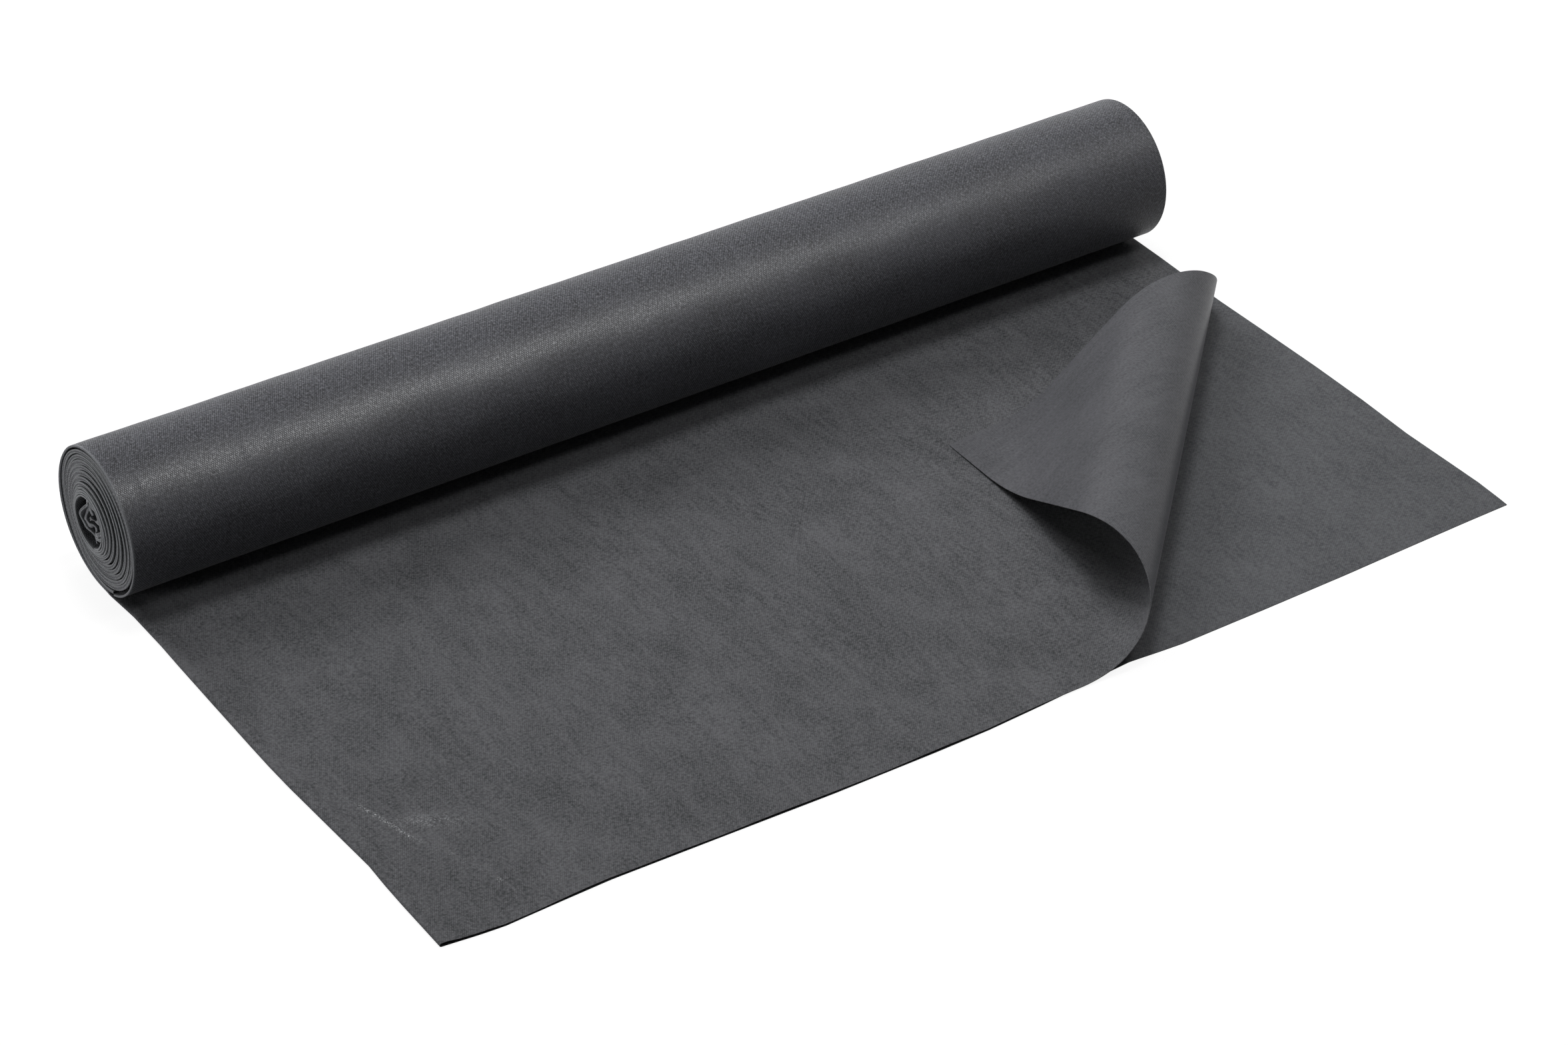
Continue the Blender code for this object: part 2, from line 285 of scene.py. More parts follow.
def fibre_mat(tree, place):
    """The fibres' own noise, and how thick the mat looks: that noise with clouds and streaks in it."""
    stretched = add_node(tree, "ShaderNodeMapping", {"Vector": place, "Scale": (1.0, 0.25, 1.0)})
    streaks = add_node(tree, "ShaderNodeTexNoise", {"Vector": stretched.outputs[0], "Scale": STREAK_CELLS,
                                                    "Detail": 3.0, "Roughness": 0.6})
    clouds = add_node(tree, "ShaderNodeTexNoise", {"Vector": place, "Scale": CLOUD_CELLS, "Detail": 3.0})
    fibres = add_node(tree, "ShaderNodeTexNoise", {"Vector": place, "Scale": FIBRE_CELLS, "Detail": 3.0,
                                                   "Roughness": 0.6}).outputs["Fac"]
    level = fibres
    for noise in (clouds, streaks):
        level = add_node(tree, "ShaderNodeMath", {0: noise.outputs["Fac"], 1: 0.5, 2: level},
                         operation="MULTIPLY_ADD").outputs[0]
    spread = add_node(tree, "ShaderNodeMapRange", {"Value": level, "From Min": 0.76, "From Max": 1.24})
    return fibres, spread.outputs[0]


def crease_wear_and_highlight(tree, place, flecked):
    """How far a crease is paled: three quarters of the way at its sharpest, or right through in flecks. On
    the laid web this is wear, and on the roll's fold rims it is a painted highlight.
    """
    worn = add_node(tree, "ShaderNodeAttribute", attribute_name="crease")
    share = 0.75
    if flecked:
        flecks = add_node(tree, "ShaderNodeTexNoise", {"Vector": place, "Scale": FLECK_CELLS, "Detail": 2.0})
        share = add_node(tree, "ShaderNodeMapRange", {"Value": flecks.outputs["Fac"], "From Min": 0.5,
                                                      "From Max": 0.66}).outputs[0]
    rubbed = add_node(tree, "ShaderNodeMath", {0: worn.outputs["Fac"], 1: share}, operation="MULTIPLY")
    return rubbed.outputs[0]


def fabric(name, dark, light, point, coordinates, dots=1.0, ribs=0.0, gloss=0.5, grain=0.5, specks=0.3,
           smoother=0.0, crease=None, flecked=False):
    """Spunbond fabric: cloudy fibre laydown, faint streaks along the web, shiny specks whose paler colour is
    a painted glint, and bond points that may run together into fine ribs. A creased edge is paler, all along
    it or in flecks: worn on the laid web, and a painted highlight on the roll's fold rims. The mat runs from
    the dark colour to the light one, and the bond points and the specks' painted glints have the third."""
    material, tree = empty_material(name)
    place = add_node(tree, "ShaderNodeTexCoord").outputs[coordinates]
    bond = bond_points(tree, place, ribs)
    fibres, thickness = fibre_mat(tree, place)
    pressed = add_node(tree, "ShaderNodeMapRange", {"Value": fibres, "From Min": 0.35, "From Max": 0.65,
                                                    "To Min": 0.1 * dots, "To Max": 1.5 * dots})
    amount = add_node(tree, "ShaderNodeMath", {0: bond, 1: pressed.outputs[0]}, operation="MULTIPLY",
                      use_clamp=True)
    # Shiny specks: their roughness is lowered, and their paler colour is a painted glint.
    shiny_speck_painted_highlight = add_node(tree, "ShaderNodeTexNoise", {"Vector": place, "Scale": SPECK_CELLS, "Detail": 1.0})
    shiny_speck_painted_highlight = add_node(tree, "ShaderNodeMapRange", {"Value": shiny_speck_painted_highlight.outputs["Fac"], "From Min": 0.54,
                                                  "From Max": 0.72, "To Max": specks})
    layers = [(thickness, light), (amount.outputs[0], point), (shiny_speck_painted_highlight.outputs[0], point)]
    if crease:
        layers.append((crease_wear_and_highlight(tree, place, flecked), crease))
    colour = linear(dark)
    for share, paler in layers:
        colour = add_node(tree, "ShaderNodeMix", {"Factor": share, 6: colour, 7: linear(paler)},
                          data_type="RGBA").outputs[2]
    smooth = add_node(tree, "ShaderNodeMath", {0: bond, 1: shiny_speck_painted_highlight.outputs[0]}, operation="ADD", use_clamp=True)
    shine = add_node(tree, "ShaderNodeMapRange", {"Value": smooth.outputs[0],
                                                  "To Min": MAT_ROUGHNESS - 0.14 * gloss - smoother,
                                                  "To Max": POINT_ROUGHNESS - 0.3 * gloss - smoother})

    # The bump is inverted: the bond points are pressed in, and the fibres stand out.
    height = add_node(tree, "ShaderNodeMath", {0: bond, 1: dots}, operation="MULTIPLY")
    height = add_node(tree, "ShaderNodeMath", {0: fibres, 1: -FIBRE_HEIGHT * grain, 2: height.outputs[0]},
                      operation="MULTIPLY_ADD")
    bump = add_node(tree, "ShaderNodeBump", {"Height": height.outputs[0], "Strength": BUMP_STRENGTH,
                                             "Distance": BUMP_DEPTH}, invert=True)
    shader = add_node(tree, "ShaderNodeBsdfPrincipled", {
        "Base Color": colour, "Roughness": shine.outputs[0], "Normal": bump.outputs[0],
        "IOR": POLYPROPYLENE_IOR, "Specular IOR Level": 0.07 + 0.16 * gloss, "Sheen Weight": 0.05,
        "Sheen Roughness": 0.5})
    add_node(tree, "ShaderNodeOutputMaterial", {"Surface": shader.outputs[0]})
    return material


# Shapes.

SHARP = math.radians(50)             # edges sharper than this aren't shaded smooth


def web_grid(name, columns, rows):
    """A grid to be shaped into a piece of the web. Its own x runs across the web and y along it."""
    deselect()
    bpy.ops.mesh.primitive_grid_add(x_subdivisions=columns, y_subdivisions=rows, size=2, location=(0, 0, 0))
    thing = bpy.context.object
    thing.name = name
    thing.data.name = name
    return thing


def read_points(thing):
    points = np.zeros(len(thing.data.vertices) * 3)
    thing.data.vertices.foreach_get("co", points)
    return points.reshape(-1, 3)


def write_points(thing, points):
    thing.data.vertices.foreach_set("co", np.asarray(points, float).ravel())
    thing.data.update()


def write_creases(thing, creased):
    """Keeps how sharply the cloth is creased as an attribute, which the materials read."""
    thing.data.attributes.new("crease", "FLOAT", "POINT")
    thing.data.attributes["crease"].data.foreach_set("value", creased)


def grid_places(thing):
    """Each vertex's place on the grid, from 0 to 1 across and along."""
    across, along, _ = (read_points(thing).T + 1) / 2
    return across, along


def set_shape(thing, points, flat):
    """Moves the vertices to their places, and keeps their places on the flat cloth as the UV map."""
    write_points(thing, points)
    corners = np.zeros(len(thing.data.loops), int)
    thing.data.loops.foreach_get("vertex_index", corners)
    thing.data.uv_layers[0].data.foreach_set("uv", np.asarray(flat, float)[corners].ravel())
    thing.data.update()


def give_thickness(thing, materials, thickness=CLOTH):
    """The cloth's thickness, to both sides of its mid-surface. Its inner side takes the second material, and
    its cut edge the third, if there is one."""
    for material in materials:
        thing.data.materials.append(material)
    wall = thing.modifiers.new("cloth", "SOLIDIFY")
    wall.thickness = thickness
    wall.offset = 0
    wall.material_offset = 1
    wall.material_offset_rim = len(materials) - 1 if len(materials) > 2 else 0
    apply_modifiers(thing)
    for polygon in thing.data.polygons:
        polygon.use_smooth = True
    bpy.ops.object.shade_smooth_by_angle(angle=SHARP)


def fade(value, start, end):
    """Rises smoothly from 0 at the start to 1 at the end."""
    share = np.clip((value - start) / (end - start), 0, 1)
    return share * share * (3 - 2 * share)


def hill(distance, width):
    """1 in the middle, falling off softly to both sides."""
    return np.exp(-(distance / width) ** 2)


def soft_waves(seed, a, b, lengths):
    """Gentle seeded waves over two coordinates, from about -1 to 1."""
    chance = np.random.default_rng(seed)
    count = 7
    total = np.zeros(len(a))
    for _ in range(count):
        wave_a, wave_b = chance.uniform(0.6, 1.6, 2)
        phase = chance.uniform(0, 2 * math.pi)
        heading = chance.choice((-1, 1))
        total += np.sin(2 * math.pi * (wave_a * a / lengths[0] + heading * wave_b * b / lengths[1]) + phase)
    return total / math.sqrt(count * 2)


# The plan of the corner, flat on the upper layer.

TIP = np.array((UPPER_RIGHT, FRONT_Y - UPPER_OVERHANG))
FRONT_LEFT = np.array((LEFT + 1.7 * MM, FRONT_Y))
FRONT_EDGE = (TIP - FRONT_LEFT) / np.linalg.norm(TIP - FRONT_LEFT)
ALONG = np.array((math.cos(FOLD_HEADING), math.sin(FOLD_HEADING)))
TOWARDS_TIP = np.array((math.sin(FOLD_HEADING), -math.cos(FOLD_HEADING)))
SIDE_RUN = LAID_DEPTH + UPPER_OVERHANG - PAYOUT_DEPTH - FOLD_CLEARANCE
CORNER_DEPTH = SIDE_RUN * math.cos(FOLD_HEADING) / (1 - LIFT_SHARE)
BEND_START = TIP - CORNER_DEPTH * TOWARDS_TIP
CONE_POINT = BEND_START - CONE_DISTANCE * ALONG

# Each hinge's distance from the start of the bend, and its angle. The bend has seven hinges, then comes a
# flat slope, and the tip has two more.
HINGES = [CORNER_DEPTH * (LIFT_SHARE + index * BEND_STEP_SHARE) for index in range(len(BEND_SHARES))]
SLOPE_START = HINGES[-1]
SLOPE_END = SLOPE_START + CORNER_DEPTH * SLOPE_SHARE
HINGES += [SLOPE_END, SLOPE_END + CORNER_DEPTH * TIP_STEP_SHARE]
HINGE_ANGLES = [BEND_ANGLE * share for share in BEND_SHARES] + [TIP_ANGLE, TIP_ANGLE]

# The lines between the corner's bands: each band holds one hinge, and ends half way to the next.
BORDERS = [0.0] + [(near + far) / 2 for near, far in zip(HINGES, HINGES[1:])] + [CORNER_DEPTH]

CORNER_COLUMNS = 110
ROW_STEP = 2.6 * MM

# The flap's tip lies a little nearer the front than the hinges alone would put it: the cloth gives there.
TIP_SHIFT = np.array((1.7, -8.5, -0.5)) * MM
TIP_SHIFT_POWER = 2.5                # of the share of the way from the slope's start


def ray(distance):
    """The direction from the cone point of the line at this distance from the start of the bend."""
    line = CONE_DISTANCE * ALONG + distance * TOWARDS_TIP
    return line / np.linalg.norm(line)


def ray_ends(distance):
    """Where the line at this distance meets the front edge and the side edge."""
    line = ray(distance)
    to_edge = TIP - CONE_POINT
    across = line[0] * FRONT_EDGE[1] - line[1] * FRONT_EDGE[0]
    front = CONE_POINT + line * ((to_edge[0] * FRONT_EDGE[1] - to_edge[1] * FRONT_EDGE[0]) / across)
    side = CONE_POINT + line * ((TIP[0] - CONE_POINT[0]) / line[0])
    return front, side


def bend_half(index):
    """How far a band bends to both sides of its hinge: to the nearer of its borders."""
    return min(HINGES[index] - BORDERS[index], BORDERS[index + 1] - HINGES[index])


def turned_so_far(distance):
    """How far the cloth has turned at a distance: each hinge's angle is spread evenly to both sides of it."""
    total = 0.0
    for index, (middle, angle) in enumerate(zip(HINGES, HINGE_ANGLES)):
        half = bend_half(index)
        total += angle * min(max((distance - middle + half) / (2 * half), 0), 1)
    return total


def turn_about(line, angle):
    return np.array(Matrix.Rotation(angle, 3, Vector((-line[0], -line[1], 0))))


def corner_row(stop, turned):
    """The line at this distance: the distance, its points turned about the cone point, and their places
    when flat."""
    front, side = ray_ends(stop)
    shares = np.linspace(0, 1, CORNER_COLUMNS + 1)[:, None]
    flat = front + (side - front) * shares
    reach = np.column_stack((flat - CONE_POINT, np.zeros(len(flat))))
    points = np.array((*CONE_POINT, UPPER_MIDDLE)) + reach @ turned.T
    given = max(0, (stop - SLOPE_START) / (CORNER_DEPTH - SLOPE_START)) ** TIP_SHIFT_POWER
    return stop, points + given * TIP_SHIFT, flat


def corner_rows():
    """Rows of points over the whole corner, from where the bend starts to the tip. Each band is a smooth
    bend, and its two borders lie on the flat strips of the CAD source."""
    rows = []
    strip = np.eye(3)
    for index, (near, far) in enumerate(zip(BORDERS, BORDERS[1:])):
        steps = max(4, math.ceil((far - near) / ROW_STEP))
        stops = [near + (far - near) * step / steps for step in range(steps + 1)]
        bent = [np.eye(3)]
        for before, stop in zip(stops, stops[1:]):
            angle = turned_so_far(stop) - turned_so_far(before)
            bent.append(bent[-1] @ turn_about(ray((before + stop) / 2), angle))

        # The last row has to be turned as the hinge turns it. What the bend misses of that is faded in.
        hinged = turn_about(ray(HINGES[index]), HINGE_ANGLES[index])
        missing = hinged @ bent[-1].T - np.eye(3)
        half = bend_half(index)
        for stop, bend in zip(stops[:-1], bent):
            share = fade(stop, HINGES[index] - half, HINGES[index] + half)
            rows.append(corner_row(stop, strip @ (np.eye(3) + share * missing) @ bend))
        strip = strip @ hinged
    rows.append(corner_row(CORNER_DEPTH, strip))
    return rows


def bending_span(rows, hinge, half):
    """The two points between which a band bends: square to its hinge, and clear of both its borders."""
    first, middle, last = [min(rows, key=lambda row: abs(row[0] - distance))[1]
                           for distance in (hinge - half, hinge, hinge + half)]
    line = middle[-1] - middle[0]
    line /= np.linalg.norm(line)
    pivot = middle[CORNER_COLUMNS // 2]
    across = last[CORNER_COLUMNS // 2] - first[CORNER_COLUMNS // 2]
    across -= line * (across @ line)
    across /= np.linalg.norm(across)
    return pivot + across * max((first - pivot) @ across), pivot + across * min((last - pivot) @ across)


def make_corner(materials):
    rows = corner_rows()
    bands = []
    for index, (near, far) in enumerate(zip(BORDERS, BORDERS[1:])):
        mine = [row for row in rows if near - 1e-9 <= row[0] <= far + 1e-9]
        band = web_grid(f"corner_band_{index + 1}", len(mine) - 1, CORNER_COLUMNS)
        across, along = grid_places(band)
        row_number = np.rint(across * (len(mine) - 1)).astype(int)
        column_number = np.rint(along * CORNER_COLUMNS).astype(int)
        points = np.array([mine[r][1][c] for r, c in zip(row_number, column_number)])
        flat = np.array([mine[r][2][c] for r, c in zip(row_number, column_number)])
        set_shape(band, points, flat)
        if far == CORNER_DEPTH:
            # The last row is the tip, all its points in one place.
            activate(band)
            bpy.ops.object.mode_set(mode="EDIT")
            bpy.ops.mesh.select_all(action="SELECT")
            bpy.ops.mesh.remove_doubles(threshold=0.02 * MM)
            bpy.ops.object.mode_set(mode="OBJECT")
        give_thickness(band, materials)
        start, end = bending_span(mine, HINGES[index], bend_half(index))
        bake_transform(band)
        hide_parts(f"corner_strip_{index + 1}")
        bands.append(band)
    return bands


# The laid end.

LOWER_COLUMNS = 100
FOLD_COLUMNS = 10
UPPER_COLUMNS = 190
NEAR_COLUMNS = 70                    # of the upper layer's columns, over the stretch next to the fold
NEAR_FOLD = 100 * MM
LAID_ROWS = 120
FOLD_REACH = 1.4 * MM                # how far the rounded fold reaches in from the left edge

# Where the laid web's edges leave their straight lines. The sides by the distance from the nip, the fronts
# by the distance from the left fold, all in mm and towards +X or +Y.
LEFT_DRIFT = ((15, 0), (50, 2), (95, 2), (125, 1.1), (183, -0.1), (241, -1.1), (269, -1.4), (298, -1.1),
              (354, 0.8), (409, 2.7), (435, 1.3), (461, 0.6), (514, 0))
RIGHT_DRIFT = ((60, 0), (144, -1.6), (207, -0.2), (270, 0.8), (330, 0.4), (389, -1.7), (447, -0.5),
               (476, 0), (504, -1.2), (514, -2))
FRONT_DRIFT = ((0, 1.5), (8, 0.6), (28, -1.7), (50, -3.4), (100, -1.5), (140, -0.2), (250, -2.7),
               (330, -4.6), (420, -4.8), (470, -4), (520, -1.1), (550, 0))
LOWER_FRONT_DRIFT = ((0, 1.5), (8, 0.6), (28, -2), (50, -3.9), (100, -2.4), (140, -1.5), (250, -5),
                     (330, -7.6), (420, -8.6), (470, -8.3), (520, -5.8), (550, -3.7), (590, 0), (612, 1.5),
                     (634, -0.5), (660, -2.3), (744, -2), (826, -1.1), (868, 0), (954, 1.9), (1000, 2.4))
DRIFT_REACH = 70 * MM                # how far in from an edge its wandering is felt

# The marks near the left front corner, in x and in y from the nip: a short crease from its back end to its
# front end, a dent beside it with the direction of its length, and the line of a broad soft swelling.
CREASE = np.array(((-484, -307), (-469, -350), (-458, -397), (-442, -430), (-427.5, -473), (-423, -491))) * MM
DENT = np.array((-434, -392)) * MM
DENT_LENGTHWISE = np.array((0.86, -0.51))
DENT_SIDEWAYS = np.array((0.51, 0.86))
SWELLING = np.array(((-440, -103), (-364, -302))) * MM

# How high they and the upper layer's other uneven places rise, and how far they reach to both sides.
WAVE_HEIGHT = 1.1 * MM
FOLD_SWELL_HEIGHT = 1.3 * MM
FOLD_SWELL_IN = 5 * MM               # from the left edge to its middle
FOLD_SWELL_REACH = 7 * MM
CREASE_HEIGHT = 0.7 * MM
CREASE_REACH = 1.6 * MM
DENT_HEIGHT = 1.7 * MM
DENT_REACH = (24 * MM, 8 * MM)       # along it and across
SWELLING_HEIGHT = 1.2 * MM
SWELLING_REACH = 26 * MM


def drift(knots, distance):
    places, offsets = np.array(knots).T * MM
    return np.interp(distance, places, offsets)


def from_line(points, line):
    """Each point's distance from a line of straight pieces, and how far along it the nearest place is."""
    best = np.full(len(points), np.inf)
    along = np.zeros(len(points))
    total = 0.0
    for a, b in zip(line, line[1:]):
        length = np.linalg.norm(b - a)
        share = np.clip((points - a) @ (b - a) / length ** 2, 0, 1)
        away = np.linalg.norm(points - a - share[:, None] * (b - a), axis=1)
        along = np.where(away < best, total + share * length, along)
        best = np.minimum(best, away)
        total += length
    return best, along / total


def laid_section(step):
    """A point of the laid web's cross-section, from the lower layer's free edge round the fold: its x, and
    its height from 0 in the lower layer to 1 in the upper one."""
    start = LEFT + FOLD_REACH
    if step <= LOWER_COLUMNS:
        return RIGHT + (start - RIGHT) * step / LOWER_COLUMNS, 0.0
    if step <= LOWER_COLUMNS + FOLD_COLUMNS:
        turn = math.pi * (step - LOWER_COLUMNS) / FOLD_COLUMNS
        return start - FOLD_REACH * math.sin(turn), (1 - math.cos(turn)) / 2
    step -= LOWER_COLUMNS + FOLD_COLUMNS
    if step <= NEAR_COLUMNS:
        return start + NEAR_FOLD * step / NEAR_COLUMNS, 1.0
    share = (step - NEAR_COLUMNS) / (UPPER_COLUMNS - NEAR_COLUMNS)
    return start + NEAR_FOLD + (UPPER_RIGHT - start - NEAR_FOLD) * share, 1.0


def laid_grid():
    """Both layers and the fold, flat, before the corner is cut off."""
    columns = LOWER_COLUMNS + FOLD_COLUMNS + UPPER_COLUMNS
    web = web_grid("laid_web", columns, LAID_ROWS)
    across, along = grid_places(web)
    section = np.array([laid_section(step) for step in range(columns + 1)])
    x, layer = section[np.rint(across * columns).astype(int)].T
    oblique = FRONT_Y - UPPER_OVERHANG * np.clip((x - FRONT_LEFT[0]) / (TIP[0] - FRONT_LEFT[0]), 0, 1)
    front = FRONT_Y + (oblique - FRONT_Y) * layer
    y = front + (PAYOUT_BACK - front) * along
    z = LOWER_MIDDLE + (UPPER_MIDDLE - LOWER_MIDDLE) * layer
    set_shape(web, np.column_stack((x, y, z)), np.column_stack((x, y)))
    return web


def cut_off_corner(web):
    """Cuts the upper layer, and only that, off where the corner starts to bend."""
    activate(web)
    bpy.ops.object.mode_set(mode="EDIT")
    bpy.ops.mesh.select_all(action="DESELECT")
    bpy.ops.object.mode_set(mode="OBJECT")
    for polygon in web.data.polygons:
        polygon.select = polygon.center.z > (UPPER_MIDDLE + LOWER_MIDDLE) / 2
    bpy.ops.object.mode_set(mode="EDIT")
    bpy.ops.mesh.bisect(plane_co=(*BEND_START, 0), plane_no=(*TOWARDS_TIP, 0), clear_outer=True,
                        clear_inner=False, use_fill=False)
    bpy.ops.object.mode_set(mode="OBJECT")


def shape_laid_web(web):
    """Raises the upper layer where it doesn't lie flat, creases it, and lets the edges wander a little."""
    x, y, z = read_points(web).T
    depth = NIP_Y - y
    upper = (z - LOWER_MIDDLE) / (UPPER_MIDDLE - LOWER_MIDDLE)
    to_bend = -((np.column_stack((x, y)) - BEND_START) @ TOWARDS_TIP)
    calm = fade(to_bend, 0, 60 * MM) * fade(depth, 14 * MM, 60 * MM)
    waves = 0.5 + 0.5 * soft_waves(11, x, y, (0.11, 0.42))
    z += upper * calm * WAVE_HEIGHT * np.clip(waves, 0, 2)
    fold_swell = hill(x - LEFT - FOLD_SWELL_IN, FOLD_SWELL_REACH)
    z += upper * fold_swell * FOLD_SWELL_HEIGHT * fade(depth, 10 * MM, 50 * MM)

    # The marks: the crease has a ridge of uneven height.
    plan = np.column_stack((x, -depth))
    away, share = from_line(plan, CREASE)
    uneven = 0.55 + 0.45 * np.sin(share * 31) * np.sin(share * 12 + 1)
    z += upper * CREASE_HEIGHT * hill(away, CREASE_REACH) * uneven
    dent_along = (plan - DENT) @ DENT_LENGTHWISE
    dent_across = (plan - DENT) @ DENT_SIDEWAYS
    z += upper * DENT_HEIGHT * hill(dent_along, DENT_REACH[0]) * hill(dent_across, DENT_REACH[1])
    z += upper * calm * SWELLING_HEIGHT * hill(from_line(plan, SWELLING)[0], SWELLING_REACH)

    # The edges.
    x += drift(LEFT_DRIFT, depth) * (1 - fade(x - LEFT, 0, DRIFT_REACH))
    x += drift(RIGHT_DRIFT, depth) * (1 - fade(RIGHT - x, 0, DRIFT_REACH)) * (1 - upper)
    front_drift = drift(FRONT_DRIFT, x - LEFT) * upper + drift(LOWER_FRONT_DRIFT, x - LEFT) * (1 - upper)
    y += front_drift * (1 - fade(LAID_DEPTH - depth, 0, DRIFT_REACH))
    write_points(web, np.column_stack((x, y, z)))

    # Where the crease is rubbed pale: along one stretch and at two spots. All over the dent the cloth is
    # faintly paler.
    rubbed = 0.08 + 0.8 * fade(share, 0.15, 0.3) * (1 - fade(share, 0.48, 0.56))
    rubbed += 0.7 * hill(share - 0.68, 0.015) + 0.6 * hill(share - 0.9, 0.02)
    pale_marks = rubbed * hill(away, 1.2 * MM) + 0.3 * hill(dent_along, 26 * MM) * hill(dent_across, 7 * MM)
    write_creases(web, pale_marks * upper)


def make_laid_web(materials):
    web = laid_grid()
    cut_off_corner(web)
    shape_laid_web(web)
    give_thickness(web, materials)
    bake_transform(web)
    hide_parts("laid_lower_layer", "laid_upper_layer", "laid_folded_edge", "payout_lower_layer",
                "payout_upper_layer", "payout_folded_edge")
    return web


# The roll. Where the columns of each layer lie, as shares of the way from the fold to the free edges:
# close together near the fold, and on the outer turn's face all along, for its puckers.

NEAR_SHARES = [0.0006, 0.0016, 0.003, 0.005, 0.008]
COLUMN_SHARES = [*NEAR_SHARES, 0.013, 0.02, 0.032, 0.05, 0.08, 0.14, 0.25, 0.4, 0.55, 0.7, 0.82, 0.9, 0.95,
                 0.98, 1.0]
FACE_SHARES = [*NEAR_SHARES, *np.linspace(0.012, 0.2, 90), *np.linspace(0.207, 0.987, 100), 0.994, 1.0]
FOLD_ANGLES = (-85, -70, -56, -44, -24, -9, 0, 9, 24, 44, 56, 70, 85)
HALF_GAP = 0.5 * MM                  # half the distance between the two layers' mid-surfaces
OPENING = 6 * MM                     # over which the layers come together, away from the fold
RIM_WIDTH = 0.55 * MM                # of the fold's two rims, which are painted paler as a highlight

# A groove along the fold's blunt face: each drawn turn stands for about two real ones.
GROOVE = 0.6 * MM
GROOVE_HALF = math.radians(7)
GROOVED_FROM = 0.7 * MM              # half the height of the thinnest fold that has it


def wound_web(name, centre, normal, left, right, half_gap, bulge, face_shares=COLUMN_SHARES):
    """A stretch of the folded web along a path. For each station along it: the stack's middle and the
    outward direction in (y, z), the fold's and the free edges' places in x, half the gap between the
    two layers' mid-surfaces, and half the height of the fold, which is flattened to a blunt face. The
    last four may also be one value for all stations."""
    entries = [(share, -1.0, False) for share in reversed(face_shares)]
    entries += [(0.0, math.radians(angle), True) for angle in FOLD_ANGLES]
    entries += [(share, 1.0, False) for share in COLUMN_SHARES]
    columns = len(entries) - 1
    rows = len(centre) - 1
    thing = web_grid(name, columns, rows)
    across, along = grid_places(thing)
    row = np.rint(along * rows).astype(int)
    share, side, is_fold = np.array(entries, float)[np.rint(across * columns).astype(int)].T
    is_fold = is_fold > 0
    left, right, half_gap, bulge = [np.full(rows + 1, value)[row]
                                    for value in (left, right, half_gap, bulge)]
    reach = 0.5 * MM + 0.35 * bulge
    away = (right - left - reach) * share
    opened = np.exp(-away / OPENING)
    height_fold = bulge * np.sign(side) * np.abs(np.sin(side)) ** 0.5
    height = np.where(is_fold, height_fold, side * (half_gap + (bulge - half_gap) * opened))
    x_fold = left + reach * (1 - np.sqrt(np.cos(side)))
    x_fold += np.where(bulge > GROOVED_FROM, GROOVE, 0) * hill(side, GROOVE_HALF)
    x = np.where(is_fold, x_fold, left + reach + away)
    y, z = (centre[row] - normal[row] * height[:, None]).T
    steps = np.linalg.norm(np.diff(centre, axis=0), axis=1)
    length = np.concatenate(([0], np.cumsum(steps)))
    round_fold = np.where(is_fold, height_fold, side * (bulge + away))
    set_shape(thing, np.column_stack((x, y, z)), np.column_stack((round_fold, length[row])))
    # The fold's two rims, which the materials paint paler: a painted highlight on the fold edges.
    write_creases(thing, hill(np.abs(round_fold) - bulge, RIM_WIDTH))
    return thing, length[-1]


def outward_of(centre, inside):
    """The direction away from the roll's middle, square to the path, at each station."""
    ahead = np.gradient(centre, axis=0)
    ahead /= np.linalg.norm(ahead, axis=1)[:, None]
    square = np.column_stack((ahead[:, 1], -ahead[:, 0]))
    flip = np.sign(np.sum(square * (centre - inside), axis=1))
    return square * flip[:, None]


# Each pucker's place from the left end in mm, its half width in mm, its lean in mm for each radian of
# turn, where on the turn it starts and ends in radians above the front, and its height in mm.
ROLL_PUCKERS = ((104, 2.2, 9, 0.1, 1.5, 0.5), (127, 2.6, 6, 0.0, 1.1, -0.5), (26, 2.4, -4, 0.1, 0.9, 0.5),
                (44, 2.8, 5, -0.1, 0.7, -0.45), (63, 2.4, 8, 0.1, 0.8, 0.4), (84, 3.2, 4, -0.1, 0.6, 0.4))


def pucker_the_roll(thing):
    """Soft unevenness of the outer turn, and a few faint puckers that run round it near its left end."""
    points = read_points(thing)
    x = points[:, 0]
    out = points[:, 1:] - np.array((NIP_Y, ROLL_RADIUS))
    turn = np.arctan2(out[:, 1], -out[:, 0])                  # 0 at the front, rising to the top
    free = fade(points[:, 2], 12 * MM, 40 * MM) * fade(x - LEFT, 0, 12 * MM) * fade(RIGHT - x, 0, 20 * MM)
    rise = 0.22 * MM * soft_waves(23, x, turn, (0.16, 1.3))
    rise += 0.10 * MM * soft_waves(29, x, turn, (0.05, 0.8))
    for place, width, lean, start, end, height in ROLL_PUCKERS:
        held = fade(turn, start - 0.25, start) * (1 - fade(turn, end, end + 0.25))
        rise += height * MM * hill(x - LEFT - (place + lean * turn) * MM, width * MM) * held
    points[:, 1:] += out / np.linalg.norm(out, axis=1)[:, None] * (rise * free)[:, None]
    write_points(thing, points)


OUTER_STATIONS = 112
OUTER_FOLD_IN = 0.3 * MM             # from the left end of the roll to the outer turn's fold
OUTER_BULGE = 0.62 * MM              # half the height of that fold, and more where the turn hangs loose
HANG = 2.4 * MM                      # how far the outer turn hangs off the roll low at the back
HANG_ANGLE = 130 / 360 * 2 * math.pi


